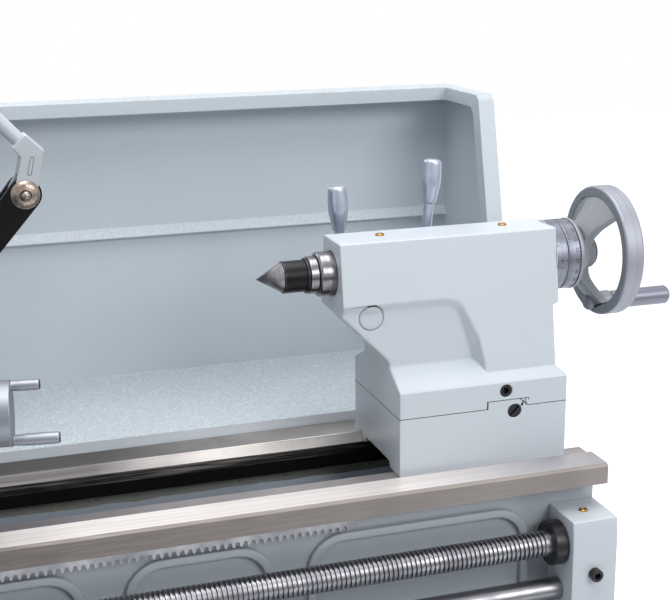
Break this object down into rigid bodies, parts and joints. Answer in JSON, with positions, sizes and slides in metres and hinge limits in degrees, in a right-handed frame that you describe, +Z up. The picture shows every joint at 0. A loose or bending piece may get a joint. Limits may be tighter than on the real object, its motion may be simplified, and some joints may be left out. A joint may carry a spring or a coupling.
{
  "type": "engine lathe",
  "caption": "Engine lathe on two cabinets with geared headstock, jaw chuck, carriage, tailstock with live centre, splash guard and machine lamp.",
  "frame": {"origin": "on the floor under the middle of the bounding box", "axes": "+X from headstock to tailstock, -Y towards the operator, +Z up"},
  "size_m": [1.708, 0.577, 1.4222],
  "materials": {
    "paint": "semi-gloss pale blue-grey machine enamel",
    "guard_paint": "fine textured blue-grey powder coat",
    "ground_iron": "ground slideways on cast iron",
    "steel": "turned and ground",
    "satin_aluminium": "matte satin",
    "black_oxide": "black oxide",
    "black_paint": "satin black",
    "black_plastic": "fine matt",
    "red_plastic": "moulded",
    "belt_rubber": "ribbed rubber"
  },
  "bodies": {
    "frame": {"bed": "ground_iron", "feed_rack": "steel", "end_bracket": "paint", "splash_guard": "guard_paint", "chip_tray": "guard_paint", "cabinets": "paint", "levelling_feet": "steel", "headstock_housing": "paint", "headstock_lid": "paint", "gearbox_housing": "paint", "motor": "black_paint", "control_box": "black_plastic", "drive_belt": "belt_rubber"},
    "gear_cover": {"gear_cover": "paint"},
    "stop_button": {"stop_button": "red_plastic"},
    "motor_shaft": {"motor_pulley": "black_oxide"},
    "input_shaft": {"input_pulley": "black_oxide"},
    "spindle": {"spindle": "steel", "chuck_body": "steel"},
    "idler_gear": {"idler_gear": "steel"},
    "gearbox_gear": {"gearbox_gear": "steel"},
    "chuck_jaw_a": {"chuck_jaw_a": "steel"},
    "chuck_jaw_b": {"chuck_jaw_b": "steel"},
    "chuck_jaw_c": {"chuck_jaw_c": "steel"},
    "speed_lever_a": {"speed_lever_a": "satin_aluminium"},
    "speed_lever_b": {"speed_lever_b": "satin_aluminium"},
    "leadscrew": {"leadscrew": "steel"},
    "feed_rod": {"feed_rod": "steel"},
    "control_rod": {"control_rod": "steel"},
    "carriage": {"saddle": "paint", "apron": "paint"},
    "apron_wheel": {"apron_wheel": "satin_aluminium"},
    "half_nut_lever": {"half_nut_lever": "satin_aluminium"},
    "feed_lever": {"feed_lever": "satin_aluminium"},
    "cross_slide": {"cross_slide": "ground_iron"},
    "cross_wheel": {"cross_wheel": "satin_aluminium"},
    "swivel": {"swivel_base": "ground_iron"},
    "top_slide": {"top_slide": "ground_iron"},
    "top_wheel": {"top_wheel": "satin_aluminium"},
    "tool_post": {"tool_post": "steel", "cutting_tool": "steel"},
    "tool_post_lever": {"tool_post_lever": "steel"},
    "tail_base": {"tail_base": "paint", "tail_clamp": "steel", "setover_screw": "black_oxide"},
    "tail_body": {"tail_body": "paint", "lock_screw": "black_oxide"},
    "clamp_lever": {"clamp_lever": "satin_aluminium"},
    "quill_lock_lever": {"quill_lock_lever": "satin_aluminium"},
    "quill": {"quill": "steel", "centre_shank": "steel"},
    "live_centre": {"live_centre": "steel"},
    "tail_wheel": {"tail_screw": "steel", "tail_handwheel": "satin_aluminium"},
    "tail_dial": {"tail_dial": "satin_aluminium"},
    "tail_handle": {"tail_handle": "satin_aluminium"},
    "lamp_base": {"lamp_base": "black_paint"},
    "lamp_arm": {"lamp_arm": "black_paint"},
    "lamp_elbow": {"lamp_elbow": "paint"},
    "lamp_head": {"lamp_head": "paint"}
  },
  "joints": [
    {"name": "gear_cover_hinge", "type": "hinge", "parent": "frame", "child": "gear_cover", "pos_m": [-0.744, 0.1835, 1.12], "axis": [0, 0, 1], "range_deg": [-100, 0]},
    {"name": "stop_button_press", "type": "slide", "parent": "frame", "child": "stop_button", "axis": [0, 1, 0], "range_m": [0, 0.003], "stiffness_N_per_m": 2000},
    {"name": "input_shaft_spin", "type": "hinge", "parent": "frame", "child": "input_shaft", "pos_m": [-0.736, 0.0735, 1.05], "axis": [1, 0, 0], "continuous": true},
    {"name": "motor_spin", "type": "hinge", "parent": "frame", "child": "motor_shaft", "pos_m": [-0.736, 0.0635, 0.54], "axis": [1, 0, 0], "continuous": true},
    {"name": "spindle_spin", "type": "hinge", "parent": "frame", "child": "spindle", "pos_m": [-0.736, 0.0035, 1.125], "axis": [1, 0, 0], "continuous": true},
    {"name": "idler_spin", "type": "hinge", "parent": "frame", "child": "idler_gear", "pos_m": [-0.736, -0.06462, 1.0292], "axis": [1, 0, 0], "continuous": true},
    {"name": "gearbox_gear_spin", "type": "hinge", "parent": "frame", "child": "gearbox_gear", "pos_m": [-0.736, -0.0835, 0.898], "axis": [1, 0, 0], "continuous": true},
    {"name": "jaw_a_slide", "type": "slide", "parent": "spindle", "child": "chuck_jaw_a", "axis": [0, 0, 1], "range_m": [-0.02, 0.014]},
    {"name": "jaw_b_slide", "type": "slide", "parent": "spindle", "child": "chuck_jaw_b", "axis": [0, -0.866, -0.5], "range_m": [-0.02, 0.014]},
    {"name": "jaw_c_slide", "type": "slide", "parent": "spindle", "child": "chuck_jaw_c", "axis": [0, 0.866, -0.5], "range_m": [-0.02, 0.014]},
    {"name": "speed_lever_a_turn", "type": "hinge", "parent": "frame", "child": "speed_lever_a", "pos_m": [-0.616, -0.1465, 1.1], "axis": [0, 1, 0], "range_deg": [-50, 22]},
    {"name": "speed_lever_b_turn", "type": "hinge", "parent": "frame", "child": "speed_lever_b", "pos_m": [-0.466, -0.1465, 1.1], "axis": [0, 1, 0], "range_deg": [-50, 22]},
    {"name": "leadscrew_spin", "type": "hinge", "parent": "frame", "child": "leadscrew", "pos_m": [0.064, -0.0835, 0.898], "axis": [1, 0, 0], "continuous": true},
    {"name": "feed_rod_spin", "type": "hinge", "parent": "frame", "child": "feed_rod", "pos_m": [0.064, -0.0835, 0.855], "axis": [1, 0, 0], "continuous": true},
    {"name": "start_lever_turn", "type": "hinge", "parent": "frame", "child": "control_rod", "pos_m": [0.064, -0.0835, 0.815], "axis": [1, 0, 0], "range_deg": [-18, 18]},
    {"name": "carriage_slide", "type": "slide", "parent": "frame", "child": "carriage", "axis": [1, 0, 0], "range_m": [-0.15, 0.12]},
    {"name": "apron_wheel_turn", "type": "hinge", "parent": "carriage", "child": "apron_wheel", "pos_m": [0.0288, -0.1625, 0.868], "axis": [0, 1, 0], "range_deg": [-2250, 1800]},
    {"name": "half_nut_turn", "type": "hinge", "parent": "carriage", "child": "half_nut_lever", "pos_m": [0.1758, -0.1625, 0.9], "axis": [0, 1, 0], "range_deg": [-30, 10]},
    {"name": "feed_lever_turn", "type": "hinge", "parent": "carriage", "child": "feed_lever", "pos_m": [0.1258, -0.1625, 0.85], "axis": [0, 1, 0], "range_deg": [-12, 30]},
    {"name": "cross_slide_move", "type": "slide", "parent": "carriage", "child": "cross_slide", "axis": [0, 1, 0], "range_m": [-0.035, 0.06]},
    {"name": "cross_wheel_turn", "type": "hinge", "parent": "carriage", "child": "cross_wheel", "pos_m": [0.0988, -0.1865, 1.0081], "axis": [0, 1, 0], "range_deg": [-5400, 3150]},
    {"name": "swivel_turn", "type": "hinge", "parent": "cross_slide", "child": "swivel", "pos_m": [0.09911, -0.06724, 1.04], "axis": [0, 0, 1], "range_deg": [-45, 45]},
    {"name": "top_slide_move", "type": "slide", "parent": "swivel", "child": "top_slide", "axis": [0.9903, -0.1392, 0], "range_m": [-0.017, 0.05]},
    {"name": "top_wheel_turn", "type": "hinge", "parent": "top_slide", "child": "top_wheel", "pos_m": [0.23279, -0.08603, 1.0679], "axis": [0.9903, -0.1392, 0], "range_deg": [-4500, 1530]},
    {"name": "tool_post_index", "type": "hinge", "parent": "top_slide", "child": "tool_post", "pos_m": [0.08128, -0.06473, 1.11], "axis": [0, 0, 1], "continuous": true},
    {"name": "tool_post_clamp", "type": "hinge", "parent": "tool_post", "child": "tool_post_lever", "pos_m": [0.08128, -0.06473, 1.155], "axis": [0, 0, 1], "range_deg": [0, 90]},
    {"name": "tailstock_slide", "type": "slide", "parent": "frame", "child": "tail_base", "axis": [1, 0, 0], "range_m": [-0.2, 0.02]},
    {"name": "tailstock_setover", "type": "slide", "parent": "tail_base", "child": "tail_body", "axis": [0, 1, 0], "range_m": [-0.006, 0.006]},
    {"name": "clamp_lever_turn", "type": "hinge", "parent": "tail_body", "child": "clamp_lever", "pos_m": [0.6255, 0.0488, 1.065], "axis": [0, 1, 0], "range_deg": [-22, 50]},
    {"name": "quill_lock_turn", "type": "hinge", "parent": "tail_body", "child": "quill_lock_lever", "pos_m": [0.5542, 0.0488, 1.121], "axis": [0, 1, 0], "range_deg": [-45, 10]},
    {"name": "quill_move", "type": "slide", "parent": "tail_body", "child": "quill", "axis": [-1, 0, 0], "range_m": [-0.008, 0.075]},
    {"name": "live_centre_spin", "type": "hinge", "parent": "quill", "child": "live_centre", "pos_m": [0.4908, 0.0035, 1.125], "axis": [1, 0, 0], "continuous": true},
    {"name": "tail_wheel_turn", "type": "hinge", "parent": "tail_body", "child": "tail_wheel", "pos_m": [0.7508, 0.0035, 1.125], "axis": [-1, 0, 0], "range_deg": [-720, 6750]},
    {"name": "tail_dial_turn", "type": "hinge", "parent": "tail_wheel", "child": "tail_dial", "pos_m": [0.7378, 0.0035, 1.125], "axis": [1, 0, 0], "continuous": true},
    {"name": "tail_handle_spin", "type": "hinge", "parent": "tail_wheel", "child": "tail_handle", "pos_m": [0.8108, 0.0062, 1.078], "axis": [1, 0, 0], "continuous": true},
    {"name": "lamp_base_turn", "type": "hinge", "parent": "carriage", "child": "lamp_base", "pos_m": [0.20345, 0.1415, 1.02], "axis": [0, 0, 1], "range_deg": [-90, 60]},
    {"name": "lamp_arm_tilt", "type": "hinge", "parent": "lamp_base", "child": "lamp_arm", "pos_m": [0.20345, 0.1415, 1.0691], "axis": [0, -1, 0], "range_deg": [-25, 35]},
    {"name": "lamp_elbow_tilt", "type": "hinge", "parent": "lamp_arm", "child": "lamp_elbow", "pos_m": [0.3002, 0.1415, 1.1837], "axis": [0, -1, 0], "range_deg": [-45, 20]},
    {"name": "lamp_head_turn", "type": "hinge", "parent": "lamp_elbow", "child": "lamp_head", "pos_m": [0.13463, 0.1415, 1.41042], "axis": [-0.6691, 0, 0.7431], "range_deg": [-90, 90]}
  ],
  "couplings": [
    {"joint": "motor_spin", "follows": "input_shaft_spin", "ratio": 1.4722},
    {"joint": "idler_spin", "follows": "spindle_spin", "ratio": -0.62069},
    {"joint": "gearbox_gear_spin", "follows": "spindle_spin", "ratio": 0.75},
    {"joint": "leadscrew_spin", "follows": "spindle_spin", "ratio": 0.75},
    {"joint": "feed_rod_spin", "follows": "spindle_spin", "ratio": -0.375},
    {"joint": "jaw_b_slide", "follows": "jaw_a_slide", "ratio": 1},
    {"joint": "jaw_c_slide", "follows": "jaw_a_slide", "ratio": 1},
    {"joint": "apron_wheel_turn", "follows": "carriage_slide", "rad_per_m": 261.8},
    {"joint": "cross_wheel_turn", "follows": "cross_slide_move", "rad_per_m": -1570.8},
    {"joint": "top_wheel_turn", "follows": "top_slide_move", "rad_per_m": -1570.8},
    {"joint": "tail_wheel_turn", "follows": "quill_move", "rad_per_m": 1570.8}
  ]
}
